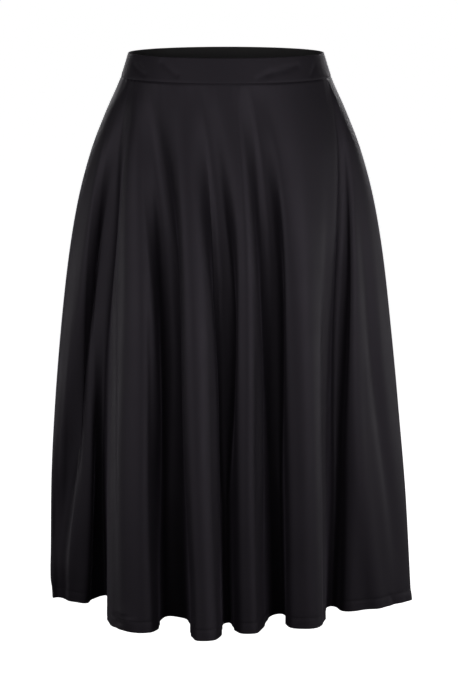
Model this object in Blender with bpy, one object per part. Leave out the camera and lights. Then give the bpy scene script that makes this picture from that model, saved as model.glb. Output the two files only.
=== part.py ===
"""Flared maxi skirt on a contoured waistband, filled out as it hangs when worn.

Metres, +Z up. The front is at -Y and the wearer's left side at +X. The origin is the centre
of the waist at half the waistband's height, where the wearer holds the skirt up.
The cloth hangs from the band in deep flared folds. Each level of it is one closed curve that
changes from a plain oval at the band to the folded curve of the hem.
"""

from collections import namedtuple
from itertools import product
from math import cos, radians, sin

import bmesh
import bpy
import numpy as np
from mathutils import Vector
from mathutils.geometry import interpolate_bezier

MM = 0.001

# Driving sizes, in millimetres
CLOTH = 1.2
BAND_WALL = 2.2
SEAM_GAP = 0.3
BAND_TOP = 20.0
BAND_BOTTOM = -16.2
BAND_DIP = 2.0
BAND_PROUD = 0.5
BAND_SEAM = 0.45
HEM = -853.0

# How finely each piece is divided. Along the hem a crest or valley has CORE_COLUMNS, and the
# cloth that runs between them has FLANK_COLUMNS. PANEL_ROWS crowd towards the band.
CORE_COLUMNS = 2
FLANK_COLUMNS = 4
PANEL_ROWS = 17
ROW_CROWDING = 1.2
BAND_COLUMNS = 44
BAND_ROWS = 3
CURVE_STEPS = 12

# The outline seen from the front and the side: a row for each level
Section = namedtuple("Section", "height centre half_width front back")
SECTIONS = (
    Section(20, 0, 150, 108, 108),
    Section(-17, 0, 162, 116, 117),
    Section(-69, 0, 185, 127, 132),
    Section(-131, 0, 209, 141, 149),
    Section(-209, 0, 230, 157, 166),
    Section(-288, 0, 244, 170, 178),
    Section(-367, 0, 254, 181, 187),
    Section(-528, 1, 270, 198, 198),
    Section(-691, 4, 282, 212, 205),
    Section(HEM, 8, 288, 221, 208),
)

# The folds in order round the hem, from the left side past the front. Each crest and the valley
# after it start at their "top" angle at the band and hang at their "low" angle further down, in
# degrees from the front. At the hem the crest runs for crest_width towards heading, and the cloth
# then turns back into the valley. opens is the level where the valley starts.
Fold = namedtuple(
    "Fold",
    "name crest_top crest_low crest_x crest_y heading crest_width"
    " valley_top valley_low valley_x valley_y valley_width opens",
)
FOLDS = (
    Fold("side_left", -90, -91, -280, 6, -85, 14, -78, -66, -264, -2, 12, -60),
    Fold("far_left", -72, -56, -238, -19, 0, 22, -62, -47, -192, 8, 14, -20),
    Fold("left", -57, -31, -146, -168, -27, 68, -44, -17, -78, -109, 36, -20),
    Fold("middle_left", -28, -10, -30, -219, 8, 34, -14, 0, 1, -136, 10, -20),
    Fold("middle_right", 4, 7, 34, -185, 0, 28, 12, 17, 81, -92, 20, -20),
    Fold("right", 28, 27, 122, -156, 4, 46, 73, 49, 164, -50, 14, -20),
    Fold("far_right", 77, 60, 204, -68, 20, 34, 83, 72, 258, -42, 20, -120),
    Fold("side_right", 90, 91, 294, -3, 95, 16, 102, 108, 236, 56, 24, -40),
    Fold("back_right", 115, 125, 240, 118, 134, 40, 127, 135, 184, 108, 26, -60),
    Fold("back_middle_right", 137, 147, 164, 172, 158, 52, 148, 156, 112, 126, 24, -30),
    Fold("back_centre_right", 160, 168, 70, 204, 172, 42, 173, 177, 22, 116, 22, -50),
    Fold("back_centre_left", 190, 187, -26, 197, 182, 54, 203, 198, -70, 126, 20, -30),
    Fold("back_middle_left", 216, 206, -118, 186, 200, 44, 229, 219, -150, 104, 26, -40),
    Fold("back_left", 241, 227, -204, 142, 220, 46, 254, 242, -208, 62, 20, -60),
)
FOLD_GROWTH = 0.9
FOLD_DRIFT = 4


def smooth_between(where, knots, values):
    """A curve through the table's values that never overshoots them."""
    knots, values = np.asarray(knots, float), np.asarray(values, float)
    secants = np.diff(values) / np.diff(knots)
    before, after = secants[:-1], secants[1:]
    same_way = before * after > 0
    total = np.where(same_way, before + after, 1.0)
    slopes = np.where(same_way, 2 * before * after / total, 0.0)
    slopes = np.concatenate([secants[:1], slopes, secants[-1:]])
    row = np.clip(np.searchsorted(knots, where) - 1, 0, len(secants) - 1)
    step = knots[row + 1] - knots[row]
    t = (where - knots[row]) / step
    start = (1 + 2 * t) * (1 - t) ** 2 * values[row] + t * (1 - t) ** 2 * step * slopes[row]
    end = t * t * (3 - 2 * t) * values[row + 1] - t * t * (1 - t) * step * slopes[row + 1]
    return start + end


def section_at(height):
    """The outline's centre and reaches at this level."""
    rows = SECTIONS[::-1]
    levels = [row.height for row in rows]
    columns = zip(*(row[1:] for row in rows))
    return [float(smooth_between(height, levels, column)) for column in columns]


def hem_corners():
    """Two points for each crest and two for each valley of the hem, in order."""
    corners = []
    for fold, following in zip(FOLDS, FOLDS[1:] + FOLDS[:1]):
        crest = Vector((fold.crest_x, fold.crest_y, 0))
        next_crest = Vector((following.crest_x, following.crest_y, 0))
        valley = Vector((fold.valley_x, fold.valley_y, 0))
        turn = radians(fold.heading)
        along_crest = Vector((cos(turn), sin(turn), 0)) * fold.crest_width / 2
        along_valley = (next_crest - crest).normalized() * fold.valley_width / 2
        corners += [crest - along_crest, crest + along_crest]
        corners += [valley - along_valley, valley + along_valley]
    return corners


def hem_curve():
    """The hem as a closed smooth curve, with the distance along it of each corner."""
    corners = hem_corners()
    count = len(corners)
    curve, starts = [], []
    for i, here in enumerate(corners):
        before, ahead, beyond = (corners[(i + step) % count] for step in (-1, 1, 2))
        reach = (ahead - here).length / 3
        leave = here + (ahead - before).normalized() * reach
        arrive = ahead - (beyond - here).normalized() * reach
        starts.append(len(curve))
        curve += interpolate_bezier(here, leave, arrive, ahead, CURVE_STEPS)[:-1]
    curve.append(curve[0])
    points = np.array([point[:2] for point in curve])
    distance = np.concatenate([[0], np.cumsum(np.linalg.norm(np.diff(points, axis=0), axis=1))])
    return points, distance, distance[starts]


HEM_POINTS, HEM_DISTANCE, CORNER_DISTANCE = hem_curve()
HEM_LENGTH = HEM_DISTANCE[-1]


def round_the_skirt(values, distances, whole_turn=0.0):
    """Repeats a table of values round the hem, one turn before it and one after."""
    turns = (-1, 0, 1)
    knots = np.concatenate([distances + turn * HEM_LENGTH for turn in turns])
    repeated = np.concatenate([np.asarray(values, float) + turn * whole_turn for turn in turns])
    return knots, repeated


# Crests and valleys in turn, by their distance along the hem
TURN_DISTANCE = (CORNER_DISTANCE[0::2] + CORNER_DISTANCE[1::2]) / 2
TOP_TURNS = [angle for fold in FOLDS for angle in (fold.crest_top, fold.valley_top)]
LOW_TURNS = [angle for fold in FOLDS for angle in (fold.crest_low, fold.valley_low)]
TOP_ANGLES = round_the_skirt(TOP_TURNS, TURN_DISTANCE, 360.0)
LOW_ANGLES = round_the_skirt(LOW_TURNS, TURN_DISTANCE, 360.0)
OPENINGS = round_the_skirt([fold.opens for fold in FOLDS], TURN_DISTANCE[1::2])


def skirt_point(distance, height):
    """The outer face of the cloth, at this distance along the hem and this level, in millimetres."""
    along = distance % HEM_LENGTH
    hem_x, hem_y = (np.interp(along, HEM_DISTANCE, HEM_POINTS[:, axis]) for axis in (0, 1))
    hem_centre, hem_width, hem_front, hem_back = section_at(HEM)
    folded_x = (hem_x - hem_centre) / hem_width
    folded_y = hem_y / (hem_front if hem_y < 0 else hem_back)
    above_hem = (height - HEM) / (BAND_BOTTOM - HEM)
    drift = min(above_hem, 1.0) ** FOLD_DRIFT
    top, low = (smooth_between(along, *angles) for angles in (TOP_ANGLES, LOW_ANGLES))
    angle = radians(top * drift + low * (1 - drift))
    opens = smooth_between(along, *OPENINGS)
    depth = max(0.0, (opens - height) / (opens - HEM)) ** FOLD_GROWTH
    across = sin(angle) * (1 - depth) + folded_x * depth
    forward = -cos(angle) * (1 - depth) + folded_y * depth
    centre, width, front, back = section_at(height)
    return Vector((centre + width * across, (front if forward < 0 else back) * forward, height))


def band_edge(angle):
    """The level of the seam under the band: it dips at the front and the back."""
    return BAND_BOTTOM - BAND_DIP * cos(angle) ** 2


def band_point(angle, share):
    """The outer face of the band, from its bottom edge at share 0 to its top at share 1."""
    bottom = band_edge(angle)
    height = bottom + (BAND_TOP - bottom) * share
    centre, width, front, back = section_at(height)
    forward = -cos(angle)
    reach = (front if forward < 0 else back) + BAND_PROUD
    return Vector((centre + (width + BAND_PROUD) * sin(angle), reach * forward, height))


def outward(surface, along, level, step):
    """The way out of the cloth at this place on a surface."""
    sideways = surface(along + step, level) - surface(along - step, level)
    upwards = surface(along, level + step) - surface(along, level - step)
    return sideways.cross(upwards).normalized()


def column_distances():
    """The distance along the hem of every column of the skirt panels."""
    ends = list(CORNER_DISTANCE[1:]) + [HEM_LENGTH]
    columns = []
    for i, (start, end) in enumerate(zip(CORNER_DISTANCE, ends)):
        steps = FLANK_COLUMNS if i % 2 else CORE_COLUMNS
        columns += list(np.linspace(start, end, steps, endpoint=False))
    return columns


def crest_column(fold_name):
    """The column that runs down the middle of this fold's crest."""
    place_in_order = [fold.name for fold in FOLDS].index(fold_name)
    return place_in_order * 2 * (CORE_COLUMNS + FLANK_COLUMNS) + CORE_COLUMNS // 2


def cloth_material(name, colour, roughness):
    """Black satin-faced cloth, seen as a plain surface."""
    material = bpy.data.materials.new(name)
    material.use_nodes = True
    shader = material.node_tree.nodes["Principled BSDF"]
    shader.inputs["Base Color"].default_value = (*colour, 1)
    shader.inputs["Roughness"].default_value = roughness
    shader.inputs["Metallic"].default_value = 0
    return material


def sewn_piece(name, columns, rows, place, wall, material):
    """A closed sheet of cloth. place(column, row) gives an outer corner and the way out there."""
    outer, inner = {}, {}
    shell = bmesh.new()
    for spot in product(range(columns + 1), range(rows + 1)):
        point, out = place(*spot)
        outer[spot] = shell.verts.new(point * MM)
        inner[spot] = shell.verts.new((point - out * wall) * MM)
    for column, row in product(range(columns), range(rows)):
        corners = ((column, row), (column + 1, row), (column + 1, row + 1), (column, row + 1))
        shell.faces.new([outer[spot] for spot in corners]).smooth = True
        shell.faces.new([inner[spot] for spot in reversed(corners)]).smooth = True
    rim = [(column, 0) for column in range(columns)]
    rim += [(columns, row) for row in range(rows)]
    rim += [(column, rows) for column in range(columns, 0, -1)]
    rim += [(0, row) for row in range(rows, 0, -1)]
    for here, ahead in zip(rim, rim[1:] + rim[:1]):
        shell.faces.new([outer[ahead], outer[here], inner[here], inner[ahead]])
    mesh = bpy.data.meshes.new(name)
    shell.to_mesh(mesh)
    shell.free()
    mesh.materials.append(material)
    bpy.context.scene.collection.objects.link(bpy.data.objects.new(name, mesh))


def panel(name, first_column, last_column, material):
    """One panel of the skirt between two side seams, from under the band down to the hem."""
    distances = column_distances()
    columns = last_column - first_column

    def place(column, row):
        turns, index = divmod(first_column + column, len(distances))
        distance = distances[index] + turns * HEM_LENGTH
        top_angle = radians(smooth_between(distance % HEM_LENGTH, *TOP_ANGLES))
        top = band_edge(top_angle) - BAND_SEAM
        height = top + (HEM - top) * (1 - row / PANEL_ROWS) ** ROW_CROWDING
        point = skirt_point(distance, height)
        beside = skirt_point(distance + 1, height) - skirt_point(distance - 1, height)
        trim = (column == 0) - (column == columns)
        point += beside.normalized() * trim * SEAM_GAP / 2
        return point, outward(skirt_point, distance, height, 1.0)

    sewn_piece(name, columns, PANEL_ROWS, place, CLOTH, material)


def waistband(name, first_angle, last_angle, material):
    """Half of the waistband, between the side seams."""
    trim = SEAM_GAP / 2 / SECTIONS[0].front
    start, end = radians(first_angle) + trim, radians(last_angle) - trim

    def place(column, row):
        angle = start + (end - start) * column / BAND_COLUMNS
        share = row / BAND_ROWS
        return band_point(angle, share), outward(band_point, angle, share, 0.01)

    sewn_piece(name, BAND_COLUMNS, BAND_ROWS, place, BAND_WALL, material)


def build_skirt():
    """Clears the scene and makes the four sewn pieces."""
    for thing in list(bpy.data.objects):
        bpy.data.objects.remove(thing)
    skirt_cloth = cloth_material("skirt_cloth", (0.010, 0.009, 0.011), 0.45)
    band_cloth = cloth_material("band_cloth", (0.011, 0.010, 0.011), 0.5)
    left, right = crest_column("side_left"), crest_column("side_right")
    panel("front_panel", left, right, skirt_cloth)
    panel("back_panel", right, left + len(column_distances()), skirt_cloth)
    waistband("front_waistband", -90, 90, band_cloth)
    waistband("back_waistband", 90, 270, band_cloth)


build_skirt()
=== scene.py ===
from collections import namedtuple
from math import pi, radians

import bpy
import numpy as np
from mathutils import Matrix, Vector
from mathutils.geometry import interpolate_bezier


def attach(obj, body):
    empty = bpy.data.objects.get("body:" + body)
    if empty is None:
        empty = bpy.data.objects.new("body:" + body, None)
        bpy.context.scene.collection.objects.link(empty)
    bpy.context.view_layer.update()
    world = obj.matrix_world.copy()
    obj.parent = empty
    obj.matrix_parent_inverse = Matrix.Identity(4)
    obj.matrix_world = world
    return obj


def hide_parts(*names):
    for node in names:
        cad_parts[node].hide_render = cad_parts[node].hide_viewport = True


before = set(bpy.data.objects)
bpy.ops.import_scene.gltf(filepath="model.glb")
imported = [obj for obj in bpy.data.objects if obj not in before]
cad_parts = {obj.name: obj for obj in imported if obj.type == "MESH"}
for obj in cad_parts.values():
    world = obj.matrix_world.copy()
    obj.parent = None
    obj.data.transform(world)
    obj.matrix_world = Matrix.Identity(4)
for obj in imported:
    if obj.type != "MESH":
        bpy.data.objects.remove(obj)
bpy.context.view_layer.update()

# SKIRT PANELS
# Front and back, cut flared from smooth black satin-faced polyester and sewn at the side seams.
# They hang from the waistband in deep soft folds, each level changing from a plain oval at the
# band to the folded curve of the hem.

# In metres: the thickness of the cloth, the levels of the band's edges and of the hem, how far the
# band's seam dips at the front and the back, and the join under the band
CLOTH = 0.0012
BAND_TOP, BAND_BOTTOM, BAND_DIP, BAND_SEAM = 0.020, -0.0162, 0.002, 0.00005
HEM = -0.853

# The skirt's outline at each level, from above: where it is centred, half its width, and how far
# it reaches to the front and the back
Section = namedtuple("Section", "height centre half_width front back")
SECTIONS = (
    Section(0.020, 0, 0.150, 0.108, 0.108),
    Section(-0.017, 0, 0.162, 0.116, 0.117),
    Section(-0.069, 0, 0.185, 0.127, 0.132),
    Section(-0.131, 0, 0.209, 0.141, 0.149),
    Section(-0.209, 0, 0.230, 0.157, 0.166),
    Section(-0.288, 0, 0.244, 0.170, 0.178),
    Section(-0.367, 0, 0.254, 0.181, 0.187),
    Section(-0.528, 0.001, 0.270, 0.198, 0.198),
    Section(-0.691, 0.004, 0.282, 0.212, 0.205),
    Section(HEM, 0.008, 0.288, 0.221, 0.208),
)

# Each crest and the valley after it: their angles at the band and further down, in degrees from
# the front, their places and widths at the hem in millimetres, and the level where it opens.
Fold = namedtuple(
    "Fold",
    "name crest_top crest_low crest_x crest_y heading crest_width"
    " valley_top valley_low valley_x valley_y valley_width opens",
)
FOLDS = (
    Fold("side_left", -90, -91, -280, 6, -85, 14, -78, -66, -264, -2, 12, -60),
    Fold("far_left", -72, -56, -238, -19, 0, 22, -62, -47, -192, 8, 14, -20),
    Fold("left", -57, -31, -146, -168, -27, 68, -44, -17, -78, -109, 36, -20),
    Fold("middle_left", -28, -10, -30, -219, 8, 34, -14, 0, 1, -136, 10, -20),
    Fold("middle_right", 4, 7, 34, -185, 0, 28, 12, 17, 81, -92, 20, -20),
    Fold("right", 28, 27, 122, -156, 4, 46, 73, 49, 164, -50, 14, -20),
    Fold("far_right", 77, 60, 204, -68, 20, 34, 83, 72, 258, -42, 20, -120),
    Fold("side_right", 90, 91, 294, -3, 95, 16, 102, 108, 236, 56, 24, -40),
    Fold("back_right", 115, 125, 240, 118, 134, 40, 127, 135, 184, 108, 26, -60),
    Fold("back_middle_right", 137, 147, 164, 172, 158, 52, 148, 156, 112, 126, 24, -30),
    Fold("back_centre_right", 160, 168, 70, 204, 172, 42, 173, 177, 22, 116, 22, -50),
    Fold("back_centre_left", 190, 187, -26, 197, 182, 54, 203, 198, -70, 126, 20, -30),
    Fold("back_middle_left", 216, 206, -118, 186, 200, 44, 229, 219, -150, 104, 26, -40),
    Fold("back_left", 241, 227, -204, 142, 220, 46, 254, 242, -208, 62, 20, -60),
)

# How evenly a fold deepens and drifts sideways on its way down, and how finely the hem is drawn
FOLD_GROWTH, FOLD_DRIFT = 0.9, 4
CURVE_STEPS = 24
FULL_CIRCLE = 360.0
MILLIMETRES = 1000


def smooth_between(where, knots, values):
    """A curve through the table's values that never overshoots them."""
    knots, values = np.asarray(knots, float), np.asarray(values, float)
    secants = np.diff(values) / np.diff(knots)
    before, after = secants[:-1], secants[1:]
    same_way = before * after > 0
    total = np.where(same_way, before + after, 1.0)
    slopes = np.where(same_way, 2 * before * after / total, 0.0)
    slopes = np.concatenate([secants[:1], slopes, secants[-1:]])
    row = np.clip(np.searchsorted(knots, where) - 1, 0, len(secants) - 1)
    step = knots[row + 1] - knots[row]
    t = (where - knots[row]) / step
    start = (1 + 2 * t) * (1 - t) ** 2 * values[row] + t * (1 - t) ** 2 * step * slopes[row]
    end = t * t * (3 - 2 * t) * values[row + 1] - t * t * (1 - t) * step * slopes[row + 1]
    return start + end


def section_at(height):
    """The outline's centre, half width, front reach and back reach at each level."""
    rows = SECTIONS[::-1]
    levels = [row.height for row in rows]
    return [smooth_between(height, levels, column) for column in list(zip(*rows))[1:]]


def hem_curve():
    """The hem as a closed smooth curve, with the distance along it of each corner."""
    corners = []
    for fold, following in zip(FOLDS, FOLDS[1:] + FOLDS[:1]):
        crest = Vector((fold.crest_x, fold.crest_y, 0))
        next_crest = Vector((following.crest_x, following.crest_y, 0))
        valley = Vector((fold.valley_x, fold.valley_y, 0))
        turn = radians(fold.heading)
        along_crest = Vector((np.cos(turn), np.sin(turn), 0)) * fold.crest_width / 2
        along_valley = (next_crest - crest).normalized() * fold.valley_width / 2
        corners += [crest - along_crest, crest + along_crest]
        corners += [valley - along_valley, valley + along_valley]
    curve, starts = [], []
    for i, here in enumerate(corners):
        before, ahead, beyond = (corners[(i + step) % len(corners)] for step in (-1, 1, 2))
        reach = (ahead - here).length / 3
        leave = here + (ahead - before).normalized() * reach
        arrive = ahead - (beyond - here).normalized() * reach
        starts.append(len(curve))
        curve += interpolate_bezier(here, leave, arrive, ahead, CURVE_STEPS)[:-1]
    curve.append(curve[0])
    points = np.array([point[:2] for point in curve]) / MILLIMETRES
    distance = np.concatenate([[0], np.cumsum(np.linalg.norm(np.diff(points, axis=0), axis=1))])
    return points, distance, distance[starts]


HEM_POINTS, HEM_DISTANCE, CORNER_DISTANCE = hem_curve()
HEM_LENGTH = HEM_DISTANCE[-1]
TURN_DISTANCE = (CORNER_DISTANCE[0::2] + CORNER_DISTANCE[1::2]) / 2


def round_the_skirt(values, distances, whole_turn=0.0):
    """Repeats a table of values round the hem, one turn before it and one after."""
    turns = (-1, 0, 1)
    knots = np.concatenate([distances + turn * HEM_LENGTH for turn in turns])
    repeated = np.concatenate([np.asarray(values, float) + turn * whole_turn for turn in turns])
    return knots, repeated


TOP_ANGLES = round_the_skirt(
    [angle for fold in FOLDS for angle in (fold.crest_top, fold.valley_top)],
    TURN_DISTANCE,
    FULL_CIRCLE,
)
LOW_ANGLES = round_the_skirt(
    [angle for fold in FOLDS for angle in (fold.crest_low, fold.valley_low)],
    TURN_DISTANCE,
    FULL_CIRCLE,
)
OPENINGS = round_the_skirt([fold.opens / MILLIMETRES for fold in FOLDS], TURN_DISTANCE[1::2])


def skirt_surface(distance, height):
    """The outer face of the cloth at these distances along the hem and these levels."""
    along = distance % HEM_LENGTH
    hem_x = np.interp(along, HEM_DISTANCE, HEM_POINTS[:, 0])
    hem_y = np.interp(along, HEM_DISTANCE, HEM_POINTS[:, 1])
    hem_centre, hem_width, hem_front, hem_back = section_at(HEM)
    folded_x = (hem_x - hem_centre) / hem_width
    folded_y = hem_y / np.where(hem_y < 0, hem_front, hem_back)
    drift = np.minimum((height - HEM) / (BAND_BOTTOM - HEM), 1.0) ** FOLD_DRIFT
    top, low = (smooth_between(along, *angles) for angles in (TOP_ANGLES, LOW_ANGLES))
    angle = np.radians(top * drift + low * (1 - drift))
    opens = smooth_between(along, *OPENINGS)
    depth = np.maximum(0.0, (opens - height) / (opens - HEM)) ** FOLD_GROWTH
    across = np.sin(angle) * (1 - depth) + folded_x * depth
    forward = -np.cos(angle) * (1 - depth) + folded_y * depth
    centre, width, front, back = section_at(height)
    reach = np.where(forward < 0, front, back)
    return np.stack([centre + width * across, reach * forward, height + 0 * across], axis=1)


# How far apart two places are taken to tell which way the cloth faces
PROBE_STEP, FINE_PROBE_STEP = 0.001, 0.0005


def way_out(surface, along, level, step):
    """The ways out of the cloth and along it, and how far it goes for each step along."""
    sideways = surface(along + step, level) - surface(along - step, level)
    upwards = surface(along, level + step) - surface(along, level - step)
    out = np.cross(sideways, upwards)
    stretch = np.linalg.norm(sideways, axis=1) / (2 * step)
    forward = sideways / (2 * step) / stretch[:, None]
    return out / np.linalg.norm(out, axis=1)[:, None], forward, stretch


# Soft creases between the folds, each drawn from its top to its low level through three places
# along the hem, in millimetres from the left side seam. A trough has a depth above nought and a
# ridge one below it, and both fade out at their ends.
Crease = namedtuple("Crease", "name top low along_top along_middle along_low width depth")
CREASES = (
    Crease("left_hollow", -50, -800, 124, 76, 30, 24, 28),
    Crease("left_streak", -380, -1030, 106, 88, 70, 9, -12),
    Crease("left_edge", -190, -1060, 160, 284, 300, 11, 4.5),
    Crease("left_shoulder", -60, -900, 385, 385, 380, 14, 4),
    Crease("left_inner_side", -60, -760, 425, 425, 425, 14, -5),
    Crease("left_valley", -20, -660, 458, 470, 476, 20, 12),
    Crease("middle_left_outer_side", -120, -780, 600, 588, 585, 18, -8),
    Crease("middle_left_crest", -20, -760, 672, 634, 620, 20, -6),
    Crease("middle_left_inner_side", -200, -800, 700, 682, 672, 13, -6),
    Crease("middle_valley", -20, -650, 741, 745, 736, 17, 18),
    Crease("middle_right_crest", -20, -760, 850, 822, 806, 14, -6),
    Crease("middle_right_inner_side", -200, -800, 872, 862, 850, 13, -5),
    Crease("right_centre_valley", -20, -640, 940, 936, 930, 20, 13),
    Crease("right_crest", -20, -760, 1062, 1056, 1046, 26, -4),
    Crease("right_edge", -120, -1040, 1120, 1104, 1064, 10, 4),
    Crease("right_valley", -50, -620, 1195, 1184, 1174, 15, 12),
    Crease("far_right_line", -120, -820, 1240, 1276, 1312, 14, 7),
    Crease("far_right_crest", -260, -1100, 1222, 1242, 1330, 18, -6),
    Crease("back_right_valley", -60, -640, 1580, 1588, 1598, 14, 9),
    Crease("back_middle_right_valley", -30, -600, 1772, 1790, 1794, 16, 12),
    Crease("back_centre_right_crest", -30, -780, 1900, 1910, 1902, 20, -4),
    Crease("back_centre_right_valley", -50, -660, 2050, 2040, 2034, 12, 13),
    Crease("back_centre_left_crest", -20, -720, 2176, 2166, 2160, 24, -4),
    Crease("back_centre_left_valley", -30, -580, 2296, 2282, 2276, 16, 13),
    Crease("back_middle_left_crest", -60, -760, 2400, 2386, 2380, 18, -3),
    Crease("back_middle_left_valley", -40, -640, 2516, 2500, 2494, 15, 10),
    Crease("back_left_line", -340, -900, 2560, 2586, 2600, 10, -4),
    Crease("back_left_valley", -60, -560, 2712, 2698, 2692, 12, 9),
    Crease("hem_pucker_low", -826, -866, 302, 318, 336, 4, 2.6),
    Crease("hem_pucker_high", -812, -850, 310, 330, 338, 4, -2.2),
    Crease("hem_pucker_right", -830, -862, 1290, 1300, 1306, 5, 1.0),
    Crease("hem_pucker_back", -824, -864, 1916, 1928, 1930, 5, 1.3),
    Crease("left_corner", -822, -884, 6, 6, 6, 24, 3.2),
    Crease("right_corner", -834, -872, 1350, 1350, 1350, 24, -1.5),
)

# How softly a crease fades out towards its two ends
CREASE_FADE = 1.1

# The small waves that sewing leaves beside the band's seam and above the turned hem: how long,
# how deep and how far they reach, and how they wander from an even beat
SEAM_WAVE, SEAM_WAVE_DEPTH, SEAM_WAVE_REACH = 0.015, 0.0002, 0.018
SEAM_WANDER, SEAM_WANDERS_ROUND = 2.1, 12
HEM_WAVE, HEM_WAVE_DEPTH, HEM_WAVE_REACH = 0.027, 0.0005, 0.020
HEM_WANDER, HEM_WANDER_LENGTH = 1.7, 0.19

# The line of the hem's stitches, and how deep and wide it sinks into the cloth
STITCH_LEVEL, STITCH_SINK, STITCH_SINK_WIDTH = HEM + 0.0165, 0.0003, 0.0016


def crease_depth(along, level, stretch):
    """How far the creases push the cloth in at these places."""
    pushed = np.zeros(len(along))
    for crease in CREASES:
        share = (crease.top / MILLIMETRES - level) * MILLIMETRES / (crease.top - crease.low)
        share = np.clip(share, 0, 1)
        bend = 2 * crease.along_middle - (crease.along_top + crease.along_low) / 2
        path = crease.along_top * (1 - share) ** 2 + 2 * bend * share * (1 - share)
        path = (path + crease.along_low * share**2) / MILLIMETRES
        aside = (along - path + HEM_LENGTH / 2) % HEM_LENGTH - HEM_LENGTH / 2
        aside = aside * stretch * MILLIMETRES / crease.width
        fade = np.sin(pi * share) ** CREASE_FADE
        pushed += crease.depth / MILLIMETRES * np.exp(-aside * aside) * fade
    return pushed


def wave_depth(along, level):
    """How far the sewing's small waves and the sunk line of stitches push the cloth in."""
    angle = np.radians(smooth_between(along % HEM_LENGTH, *TOP_ANGLES))
    beside = 2 * pi * angle * SECTIONS[1].half_width / SEAM_WAVE
    beside = beside + SEAM_WANDER * np.sin(angle * SEAM_WANDERS_ROUND)
    under_seam = np.exp((level - BAND_BOTTOM) / SEAM_WAVE_REACH)
    pushed = SEAM_WAVE_DEPTH * np.sin(beside) * np.minimum(under_seam, 1)
    beside = 2 * pi * along / HEM_WAVE
    beside = beside + HEM_WANDER * np.sin(2 * pi * along / HEM_WANDER_LENGTH)
    pushed += HEM_WAVE_DEPTH * np.sin(beside) * np.exp((HEM - level) / HEM_WAVE_REACH)
    off_line = (level - STITCH_LEVEL) / STITCH_SINK_WIDTH
    return pushed + STITCH_SINK * np.exp(-off_line * off_line)


def hung_surface(along, level):
    """The outer face of the cloth with its creases and the sewing's waves."""
    out, _, stretch = way_out(skirt_surface, along, level, PROBE_STEP)
    pushed = crease_depth(along, level, stretch) + wave_depth(along, level)
    return skirt_surface(along, level) - out * pushed[:, None]


# The columns of a panel: so many in each crest or valley, and in the cloth between two
CORE_COLUMNS, FLANK_COLUMNS = 8, 20


def column_distances():
    """The distance along the hem of every column of the panels, closest at crests and valleys."""
    columns = []
    ends = list(CORNER_DISTANCE[1:]) + [HEM_LENGTH]
    for i, (start, end) in enumerate(zip(CORNER_DISTANCE, ends)):
        steps = FLANK_COLUMNS if i % 2 else CORE_COLUMNS
        columns += list(np.linspace(start, end, steps, endpoint=False))
    return np.array(columns)


def crest_column(fold_name):
    """The column that runs down the middle of this fold's crest."""
    place_in_order = [fold.name for fold in FOLDS].index(fold_name)
    return place_in_order * 2 * (CORE_COLUMNS + FLANK_COLUMNS) + CORE_COLUMNS // 2


# The rows of a panel, and which of them lies at which share of the way down
PANEL_ROWS = 104
ROW_NUMBERS = (0, 7, 31, 89, 97, PANEL_ROWS)
HEIGHT_SHARES = (0.0, 0.008, 0.2, 0.965, 0.9803, 1.0)

# How deep and how wide the cloth rolls in towards a seam, how round a cut edge is, and how sharply
# the cloth turns where it counts as a cut edge
ROLL_DEPTH, ROLL_WIDTH = 0.0006, 0.0022
PANEL_ROUNDING, SHARP_EDGE = 0.0004, radians(60)

# The flat cut of a panel: a piece of a ring
CUT_ANGLE = radians(63)
CUT_INNER, CUT_OUTER = 0.403, 1.262


def band_edge(angle):
    """The level of the seam under the band: it dips at the front and the back."""
    return BAND_BOTTOM - BAND_DIP * np.cos(angle) ** 2


def flat_grid(name, columns, rows):
    """A new flat grid of cloth, one metre each way, with the share across and up of each point."""
    bpy.ops.object.select_all(action="DESELECT")
    bpy.ops.mesh.primitive_grid_add(x_subdivisions=columns, y_subdivisions=rows, size=1)
    cloth = bpy.context.object
    cloth.name = cloth.data.name = name
    corners = np.zeros(len(cloth.data.vertices) * 3)
    cloth.data.vertices.foreach_get("co", corners)
    shares = corners.reshape(-1, 3)[:, :2] + 0.5
    return cloth, shares[:, 0], shares[:, 1]


def drape(cloth, points, flat_points):
    """Moves the grid's points into place and keeps their flat places, in metres, as its UV map."""
    cloth.data.vertices.foreach_set("co", points.ravel())
    uv = cloth.data.uv_layers[0]
    uv.name = "cloth"
    corner = np.zeros(len(cloth.data.loops), int)
    cloth.data.loops.foreach_get("vertex_index", corner)
    uv.data.foreach_set("uv", flat_points[corner].ravel())
    cloth.data.update()


def finish_cloth(cloth, thickness, rounding, face_material, back_material):
    """Gives the cloth its thickness inwards and its dull back, whose colour is painted paler to
    stand in for light on the inside, and rounds the edges.
    """
    cloth.data.materials.append(face_material)
    cloth.data.materials.append(back_material)
    bpy.context.view_layer.objects.active = cloth
    bpy.ops.object.shade_smooth()
    wall = cloth.modifiers.new("Wall", "SOLIDIFY")
    wall.thickness = thickness
    wall.offset = -1
    wall.material_offset = 1
    bpy.ops.object.modifier_apply(modifier=wall.name)
    edge = cloth.modifiers.new("Edge", "BEVEL")
    edge.width = rounding
    edge.segments = 2
    edge.limit_method = "ANGLE"
    edge.angle_limit = SHARP_EDGE
    bpy.ops.object.modifier_apply(modifier=edge.name)
    bpy.ops.object.shade_smooth()


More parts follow.
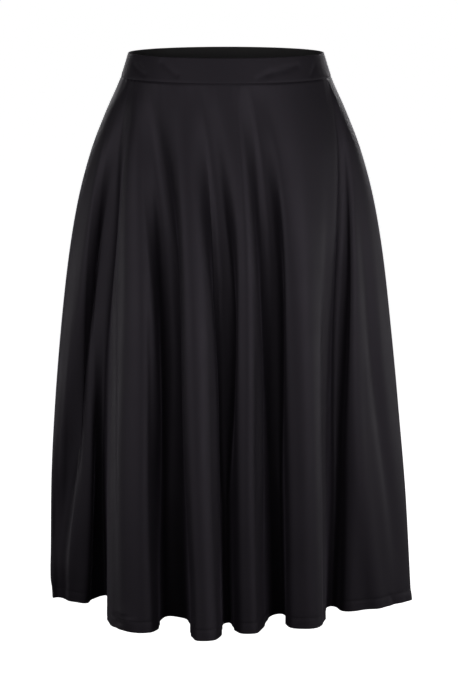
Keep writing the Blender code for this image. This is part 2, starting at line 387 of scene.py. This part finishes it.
def panel(name, first_column, last_column):
    """One panel of the skirt, hung in its folds between two side seams."""
    distances = column_distances()
    columns = last_column - first_column
    cloth, across, up = flat_grid(name, columns, PANEL_ROWS)
    column = np.rint(across * columns).astype(int)
    turns, index = np.divmod(first_column + column, len(distances))
    along = distances[index] + turns * HEM_LENGTH
    top = band_edge(np.radians(smooth_between(along % HEM_LENGTH, *TOP_ANGLES))) - BAND_SEAM
    down = np.interp((1 - up) * PANEL_ROWS, ROW_NUMBERS, HEIGHT_SHARES)
    level = top + (HEM - top) * down
    points = hung_surface(along, level)
    out, _, stretch = way_out(skirt_surface, along, level, PROBE_STEP)
    first_seam, last_seam = along.min(), along.max()
    from_seam = np.minimum(along - first_seam, last_seam - along) * stretch
    from_band = top - level
    roll = np.exp(-((from_seam / ROLL_WIDTH) ** 2)) + np.exp(-((from_band / ROLL_WIDTH) ** 2))
    points -= out * (np.minimum(roll, 1) * ROLL_DEPTH)[:, None]
    swing = (along - (first_seam + last_seam) / 2) / (last_seam - first_seam) * CUT_ANGLE
    radius = CUT_INNER + (CUT_OUTER - CUT_INNER) * down
    drape(cloth, points, np.stack([radius * np.sin(swing), -radius * np.cos(swing)], axis=1))
    finish_cloth(cloth, CLOTH, PANEL_ROUNDING, skirt_satin, satin_back_painted_pale)
    return cloth


# The satin's pattern on its flat cut: how many threads and larger patches a metre has, and the
# scale of the slanting weave. Threads and patches make the colour and the gloss vary a little, and
# the weave stands out by RELIEF, in metres.
THREADS_ACROSS, THREADS_ALONG, PATCHES, WEAVE_SCALE = 2400, 130, 16, 800
PATCH_SHARE, DARKER, PALER, GLOSS_CHANGE = 0.45, 0.75, 1.25, 0.06
NOISE_LOW, NOISE_HIGH = 0.25, 0.75
RELIEF = 0.00004
VIOLET_SHINE, VIOLET_SHEEN = (0.94, 0.84, 1.0, 1), (0.90, 0.78, 1.0, 1)


def satin_cloth(name, colour, roughness):
    """Satin-faced cloth: a fine slanting weave, a soft sheen and slightly uneven gloss."""
    material = bpy.data.materials.new(name)
    material.use_nodes = True
    nodes, links = material.node_tree.nodes, material.node_tree.links
    shader = nodes["Principled BSDF"]
    shader.inputs["Specular IOR Level"].default_value = 0.48
    shader.inputs["Specular Tint"].default_value = VIOLET_SHINE
    shader.inputs["Sheen Weight"].default_value = 0.15
    shader.inputs["Sheen Roughness"].default_value = 0.35
    shader.inputs["Sheen Tint"].default_value = VIOLET_SHEEN
    flat_cloth = nodes.new("ShaderNodeUVMap")
    flat_cloth.uv_map = "cloth"
    threads_run = nodes.new("ShaderNodeMapping")
    threads_run.inputs["Scale"].default_value = (THREADS_ACROSS, THREADS_ALONG, 1)
    links.new(flat_cloth.outputs["UV"], threads_run.inputs["Vector"])
    threads = nodes.new("ShaderNodeTexNoise")
    threads.inputs["Scale"].default_value = 1
    threads.inputs["Detail"].default_value = 2
    links.new(threads_run.outputs["Vector"], threads.inputs["Vector"])
    slanting_weave = nodes.new("ShaderNodeTexWave")
    slanting_weave.bands_direction = "DIAGONAL"
    slanting_weave.inputs["Scale"].default_value = WEAVE_SCALE
    slanting_weave.inputs["Distortion"].default_value = 0.6
    links.new(flat_cloth.outputs["UV"], slanting_weave.inputs["Vector"])
    patches = nodes.new("ShaderNodeTexNoise")
    patches.inputs["Scale"].default_value = PATCHES
    patches.inputs["Detail"].default_value = 3
    links.new(flat_cloth.outputs["UV"], patches.inputs["Vector"])
    unevenness = nodes.new("ShaderNodeMix")
    unevenness.inputs["Factor"].default_value = PATCH_SHARE
    links.new(threads.outputs["Fac"], unevenness.inputs["A"])
    links.new(patches.outputs["Fac"], unevenness.inputs["B"])
    black = nodes.new("ShaderNodeValToRGB")
    black.color_ramp.elements[0].position = NOISE_LOW
    black.color_ramp.elements[0].color = (*[DARKER * part for part in colour], 1)
    black.color_ramp.elements[1].position = NOISE_HIGH
    black.color_ramp.elements[1].color = (*[PALER * part for part in colour], 1)
    links.new(unevenness.outputs["Result"], black.inputs["Fac"])
    links.new(black.outputs["Color"], shader.inputs["Base Color"])
    gloss = nodes.new("ShaderNodeMapRange")
    gloss.inputs["From Min"].default_value = NOISE_LOW
    gloss.inputs["From Max"].default_value = NOISE_HIGH
    gloss.inputs["To Min"].default_value = roughness - GLOSS_CHANGE
    gloss.inputs["To Max"].default_value = roughness + GLOSS_CHANGE
    links.new(unevenness.outputs["Result"], gloss.inputs["Value"])
    links.new(gloss.outputs["Result"], shader.inputs["Roughness"])
    woven = nodes.new("ShaderNodeMix")
    woven.inputs["Factor"].default_value = 0.5
    links.new(threads.outputs["Fac"], woven.inputs["A"])
    links.new(slanting_weave.outputs["Fac"], woven.inputs["B"])
    relief = nodes.new("ShaderNodeBump")
    relief.inputs["Strength"].default_value = 0.5
    relief.inputs["Distance"].default_value = RELIEF
    links.new(woven.outputs["Result"], relief.inputs["Height"])
    links.new(relief.outputs["Normal"], shader.inputs["Normal"])
    return material


skirt_satin = satin_cloth("skirt_satin", (0.0076, 0.0064, 0.0086), 0.57)
# The cloth's dull back is much paler than its face. That is partly its own duller finish and partly
# painted light, standing in for light that reaches the inside of the skirt and the band.
satin_back_painted_pale = satin_cloth("satin_back_painted_pale", (0.0560, 0.0560, 0.0540), 0.85)
left_seam, right_seam = crest_column("side_left"), crest_column("side_right")
whole_turn = len(column_distances())
front_panel = panel("satin_front_panel", left_seam, right_seam)
back_panel = panel("satin_back_panel", right_seam, left_seam + whole_turn)
for cloth, node in ((front_panel, "front_panel"), (back_panel, "back_panel")):
    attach(cloth, "root")
    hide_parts(node)

# TURNED HEM
# The panels' lower edges, turned up 18 mm inside and sewn round with one row of black thread, whose
# stitches show as a fine line on the outside.

# In metres: the turn's height and thickness, how far it keeps from the hem's edge, from the panel
# and from the side seams, and how round its own edges are
TURN_HEIGHT, TURN_WALL, TURN_ROWS = 0.018, 0.0009, 8
TURN_RAISE, TURN_CLEARANCE, TURN_TRIM, TURN_ROUNDING = 0.0002, 0.00005, 0.0003, 0.0003


def turned_hem(name, first_column, last_column):
    """The cloth turned up inside a panel's hem."""
    distances = column_distances()
    columns = last_column - first_column
    cloth, across, up = flat_grid(name, columns, TURN_ROWS)
    turns, index = np.divmod(first_column + np.rint(across * columns).astype(int), len(distances))
    along = distances[index] + turns * HEM_LENGTH
    level = HEM + TURN_RAISE + (TURN_HEIGHT - TURN_RAISE) * up
    out, forward, _ = way_out(hung_surface, along, level, FINE_PROBE_STEP)
    points = hung_surface(along, level) - out * (CLOTH + TURN_CLEARANCE)
    column = np.rint(across * columns)
    ends = (column == 0).astype(float) - (column == columns)
    points += forward * (ends * TURN_TRIM)[:, None]
    drape(cloth, points, np.stack([along, level], axis=1))
    finish_cloth(cloth, TURN_WALL, TURN_ROUNDING, skirt_satin, satin_back_painted_pale)
    return cloth


# In metres: how far apart the stitches are, and how long and thick. STITCH_PROUD is the share of
# their thickness by which they are lifted, and HEM_PLACES is how finely the hem is followed.
STITCH_PITCH, STITCH_LENGTH, STITCH_THREAD = 0.0034, 0.0026, 0.00032
STITCH_PROUD, HEM_PLACES = 0.2, 12000


def stitch_row(name, level):
    """One row of stitches round the hem, joined in one mesh."""
    fine = np.linspace(0, HEM_LENGTH, HEM_PLACES)
    points = hung_surface(fine, np.full(len(fine), level))
    steps = np.linalg.norm(np.diff(points, axis=0), axis=1)
    reached = np.concatenate([[0], np.cumsum(steps)])
    count = int(reached[-1] / STITCH_PITCH)
    along = np.interp((np.arange(count) + 0.5) * reached[-1] / count, reached, fine)
    places = hung_surface(along, np.full(count, level))
    out, forward, _ = way_out(hung_surface, along, np.full(count, level), FINE_PROBE_STEP)
    upward = np.cross(out, forward)
    bpy.ops.object.select_all(action="DESELECT")
    bpy.ops.mesh.primitive_uv_sphere_add(segments=6, ring_count=4, radius=0.5)
    thread = bpy.context.object
    shape = np.zeros(len(thread.data.vertices) * 3)
    thread.data.vertices.foreach_get("co", shape)
    shape = shape.reshape(-1, 3) * (STITCH_THREAD, STITCH_THREAD, STITCH_LENGTH)
    faces = [tuple(face.vertices) for face in thread.data.polygons]
    bpy.data.objects.remove(thread)
    corners = places[:, None, :] + out[:, None, :] * STITCH_THREAD * STITCH_PROUD
    corners = corners + shape[None, :, 0, None] * out[:, None, :]
    corners = corners + shape[None, :, 1, None] * upward[:, None, :]
    corners = corners + shape[None, :, 2, None] * forward[:, None, :]
    row = bpy.data.meshes.new(name)
    joined = [tuple(n * len(shape) + v for v in face) for n in range(count) for face in faces]
    row.from_pydata(corners.reshape(-1, 3).tolist(), [], joined)
    row.update()
    stitches = bpy.data.objects.new(name, row)
    bpy.context.scene.collection.objects.link(stitches)
    row.shade_smooth()
    return stitches


# The scale of the thread's twist, how far it stands out in metres, and its two shades
TWIST_SCALE, TWIST_RELIEF, TWIST_DARKER, TWIST_PALER = 600, 0.00005, 0.7, 1.4


def twisted_thread(name, colour, roughness):
    """Polyester thread with the fine slant of its twist."""
    material = bpy.data.materials.new(name)
    material.use_nodes = True
    nodes, links = material.node_tree.nodes, material.node_tree.links
    shader = nodes["Principled BSDF"]
    shader.inputs["Roughness"].default_value = roughness
    place = nodes.new("ShaderNodeTexCoord")
    twist = nodes.new("ShaderNodeTexWave")
    twist.bands_direction = "DIAGONAL"
    twist.inputs["Scale"].default_value = TWIST_SCALE
    links.new(place.outputs["Object"], twist.inputs["Vector"])
    black = nodes.new("ShaderNodeValToRGB")
    black.color_ramp.elements[0].color = (*[TWIST_DARKER * part for part in colour], 1)
    black.color_ramp.elements[1].color = (*[TWIST_PALER * part for part in colour], 1)
    links.new(twist.outputs["Fac"], black.inputs["Fac"])
    links.new(black.outputs["Color"], shader.inputs["Base Color"])
    relief = nodes.new("ShaderNodeBump")
    relief.inputs["Strength"].default_value = 0.4
    relief.inputs["Distance"].default_value = TWIST_RELIEF
    links.new(twist.outputs["Fac"], relief.inputs["Height"])
    links.new(relief.outputs["Normal"], shader.inputs["Normal"])
    return material


front_turn = turned_hem("front_turned_hem", left_seam, right_seam)
back_turn = turned_hem("back_turned_hem", right_seam, left_seam + whole_turn)
hem_stitches = stitch_row("hem_stitches", STITCH_LEVEL)
black_thread = twisted_thread("black_thread", (0.016, 0.015, 0.016), 0.5)
hem_stitches.data.materials.append(black_thread)
for piece in (hem_stitches, front_turn, back_turn):
    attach(piece, "root")

# WAISTBAND
# A straight band of the same cloth, doubled and faced with elastic, sewn on round the waist with
# the seam turned inside. It is shaped to the waist, and pulls in soft slanting puckers at its ends.

# In metres: the band's thickness, how far it stands out over the skirt, how round its edges are,
# and the cut of what shows of each half
BAND_WALL, BAND_PROUD, BAND_ROUNDING = 0.0022, 0.0005, 0.0009
BAND_COLUMNS, BAND_ROWS = 260, 36

# Each pucker runs from one place to another: angles in degrees from the front, and shares of the
# band's height. It is as wide, in metres, and as deep, in millimetres, as it says.
Pucker = namedtuple("Pucker", "from_angle from_share to_angle to_share width depth")
PUCKERS = (
    Pucker(-39, 0.78, -28, 0.32, 0.0050, 0.90),
    Pucker(-65, 0.58, -51, 0.25, 0.0045, 0.85),
    Pucker(-59, 0.66, -54, 0.50, 0.0030, 0.45),
    Pucker(44, 0.64, 24, 0.36, 0.0055, 0.80),
    Pucker(26, 0.44, 17, 0.16, 0.0045, 0.65),
    Pucker(60, 0.56, 54, 0.20, 0.0040, 0.75),
    Pucker(118, 0.70, 132, 0.30, 0.0060, 0.55),
    Pucker(146, 0.45, 154, 0.20, 0.0050, 0.40),
    Pucker(204, 0.30, 214, 0.66, 0.0060, 0.45),
    Pucker(232, 0.24, 240, 0.60, 0.0050, 0.50),
)


def band_surface(angle, share):
    """The outer face of the band, from its bottom edge at share 0 to its top at share 1."""
    bottom = band_edge(angle)
    height = bottom + (BAND_TOP - bottom) * share
    centre, width, front, back = section_at(height)
    forward = -np.cos(angle)
    reach = np.where(forward < 0, front, back) + BAND_PROUD
    across = centre + (width + BAND_PROUD) * np.sin(angle)
    return np.stack([across, reach * forward, height], axis=1)


def pucker_depth(angle, share):
    """How far the puckers push the band in at these places."""
    pushed = np.zeros(len(angle))
    band_height, band_radius = BAND_TOP - BAND_BOTTOM, SECTIONS[0].half_width
    places = np.stack([angle * band_radius, share * band_height], axis=1)
    for pucker in PUCKERS:
        from_across, to_across = radians(pucker.from_angle), radians(pucker.to_angle)
        start = np.array([from_across * band_radius, pucker.from_share * band_height])
        end = np.array([to_across * band_radius, pucker.to_share * band_height])
        run = end - start
        share_along = np.clip((places - start) @ run / (run @ run), 0, 1)
        aside = np.linalg.norm(places - start - share_along[:, None] * run, axis=1)
        pushed += pucker.depth / MILLIMETRES * np.exp(-((aside / pucker.width) ** 2))
    return pushed


def waistband(name, first_angle, last_angle):
    """Half of the waistband, between the side seams."""
    cloth, across, up = flat_grid(name, BAND_COLUMNS, BAND_ROWS)
    start, end = radians(first_angle), radians(last_angle)
    angle = start + (end - start) * across
    points = band_surface(angle, up)
    out, _, stretch = way_out(band_surface, angle, up, PROBE_STEP)
    from_seam = np.minimum(angle - start, end - angle) * stretch
    from_edge = up * (BAND_TOP - BAND_BOTTOM)
    roll = np.exp(-((from_seam / ROLL_WIDTH) ** 2)) + np.exp(-((from_edge / ROLL_WIDTH) ** 2))
    pushed = np.minimum(roll, 1) * BAND_PROUD + pucker_depth(angle, up)
    points -= out * pushed[:, None]
    length = SECTIONS[0].half_width * (end - start)
    drape(cloth, points, np.stack([across * length, up * (BAND_TOP - BAND_BOTTOM)], axis=1))
    finish_cloth(cloth, BAND_WALL, BAND_ROUNDING, band_satin, satin_back_painted_pale)
    return cloth


# The join of the band's inner layer: how far from the middle it lies, towards +X, and how deep and
# wide it is pressed in, in metres
JOIN_PLACE, JOIN_SINK, JOIN_WIDTH = 0.020, 0.0007, 0.0016


def press_join(cloth):
    """Presses in the upright join of the band's inner layer, on its inside face."""
    for corner in cloth.data.vertices:
        inside = corner.co.xy.dot(corner.normal.xy) < 0
        if inside:
            off_line = (corner.co.x - JOIN_PLACE) / JOIN_WIDTH
            corner.co.y += JOIN_SINK * np.exp(-off_line * off_line) * np.sign(corner.co.y)


band_satin = satin_cloth("band_satin", (0.0074, 0.0062, 0.0084), 0.62)
front_band = waistband("satin_front_waistband", -90, 90)
back_band = waistband("satin_back_waistband", 90, 270)
press_join(back_band)
for cloth, node in ((front_band, "front_waistband"), (back_band, "back_waistband")):
    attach(cloth, "root")
    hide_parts(node)

# FLOOR AND LIGHT
# A plain white floor and sky that show but throw no light. Square soft lights stand round the
# skirt, low ones at its edges, higher ones at the back, and one from above at the front.
FLOOR, FLOOR_SIZE = -1.15, 200
bpy.ops.object.select_all(action="DESELECT")
bpy.ops.mesh.primitive_plane_add(size=FLOOR_SIZE, location=(0, 0, FLOOR))
floor = bpy.context.object
floor.name = "floor"
floor.visible_glossy = floor.visible_diffuse = False
floor_white = bpy.data.materials.new("floor_white")
floor_white.use_nodes = True
floor_shader = floor_white.node_tree.nodes["Principled BSDF"]
floor_shader.inputs["Base Color"].default_value = (0.8, 0.8, 0.8, 1)
floor_shader.inputs["Roughness"].default_value = 1.0
floor_shader.inputs["Specular IOR Level"].default_value = 0.0
floor_shader.inputs["Emission Color"].default_value = (1, 1, 1, 1)
floor_shader.inputs["Emission Strength"].default_value = 1.0
floor.data.materials.append(floor_white)

# The lights' bearings and climbs are in degrees, from the front and from level, and their powers
# in watts
SoftLight = namedtuple("SoftLight", "name bearing climb power")
SOFT_LIGHTS = (
    SoftLight("left_rim_light", -112, -8, 4.5),
    SoftLight("left_side_light", -60, 2, 5.5),
    SoftLight("left_light", -40, 12, 6.5),
    SoftLight("front_left_light", -20, 2, 4.5),
    SoftLight("front_right_light", 20, 12, 5.5),
    SoftLight("right_light", 40, 2, 8.5),
    SoftLight("right_side_light", 60, 2, 5),
    SoftLight("right_rim_light", 85, -6, 3.5),
    SoftLight("right_edge_light", 116, -8, 4),
    SoftLight("high_front_light", 0, 52, 4),
    SoftLight("back_right_light", 150, 15, 10),
    SoftLight("back_left_light", 205, 15, 9),
)
LIGHT_DISTANCE, LIGHT_SIDE, LIGHT_AIM = 2.6, 0.8, Vector((0, 0, -0.30))
for soft in SOFT_LIGHTS:
    light = bpy.data.lights.new(soft.name, "AREA")
    light.shape = "SQUARE"
    light.size = LIGHT_SIDE
    light.energy = soft.power
    lamp = bpy.data.objects.new(soft.name, light)
    turn, climb = radians(soft.bearing), radians(soft.climb)
    towards = Vector((np.sin(turn) * np.cos(climb), -np.cos(turn) * np.cos(climb), np.sin(climb)))
    lamp.location = LIGHT_AIM + towards * LIGHT_DISTANCE
    lamp.rotation_euler = towards.to_track_quat("Z", "Y").to_euler()
    bpy.context.scene.collection.objects.link(lamp)

sky = bpy.data.worlds.new("sky")
sky.use_nodes = True
sky.node_tree.nodes["Background"].inputs["Color"].default_value = (1, 1, 1, 1)
sky.node_tree.nodes["Background"].inputs["Strength"].default_value = 1.0
sky.cycles_visibility.diffuse = sky.cycles_visibility.glossy = False
bpy.context.scene.world = sky
bpy.context.scene.view_settings.view_transform = "Standard"

# CAMERA
# It stands four metres in front, above the waist, and looks down a little, as in the photograph.
# The film's width and the lens are in millimetres.
CAMERA_PLACE, CAMERA_TILT = (0.0046, -4.0, 0.350), radians(11.14)
FILM_WIDTH, LENS = 36, 135.63
camera_data = bpy.data.cameras.new("camera")
camera_data.sensor_width = FILM_WIDTH
camera_data.lens = LENS
camera = bpy.data.objects.new("camera", camera_data)
camera.location = CAMERA_PLACE
camera.rotation_euler = (pi / 2 - CAMERA_TILT, 0, 0)
bpy.context.scene.collection.objects.link(camera)
bpy.context.scene.camera = camera
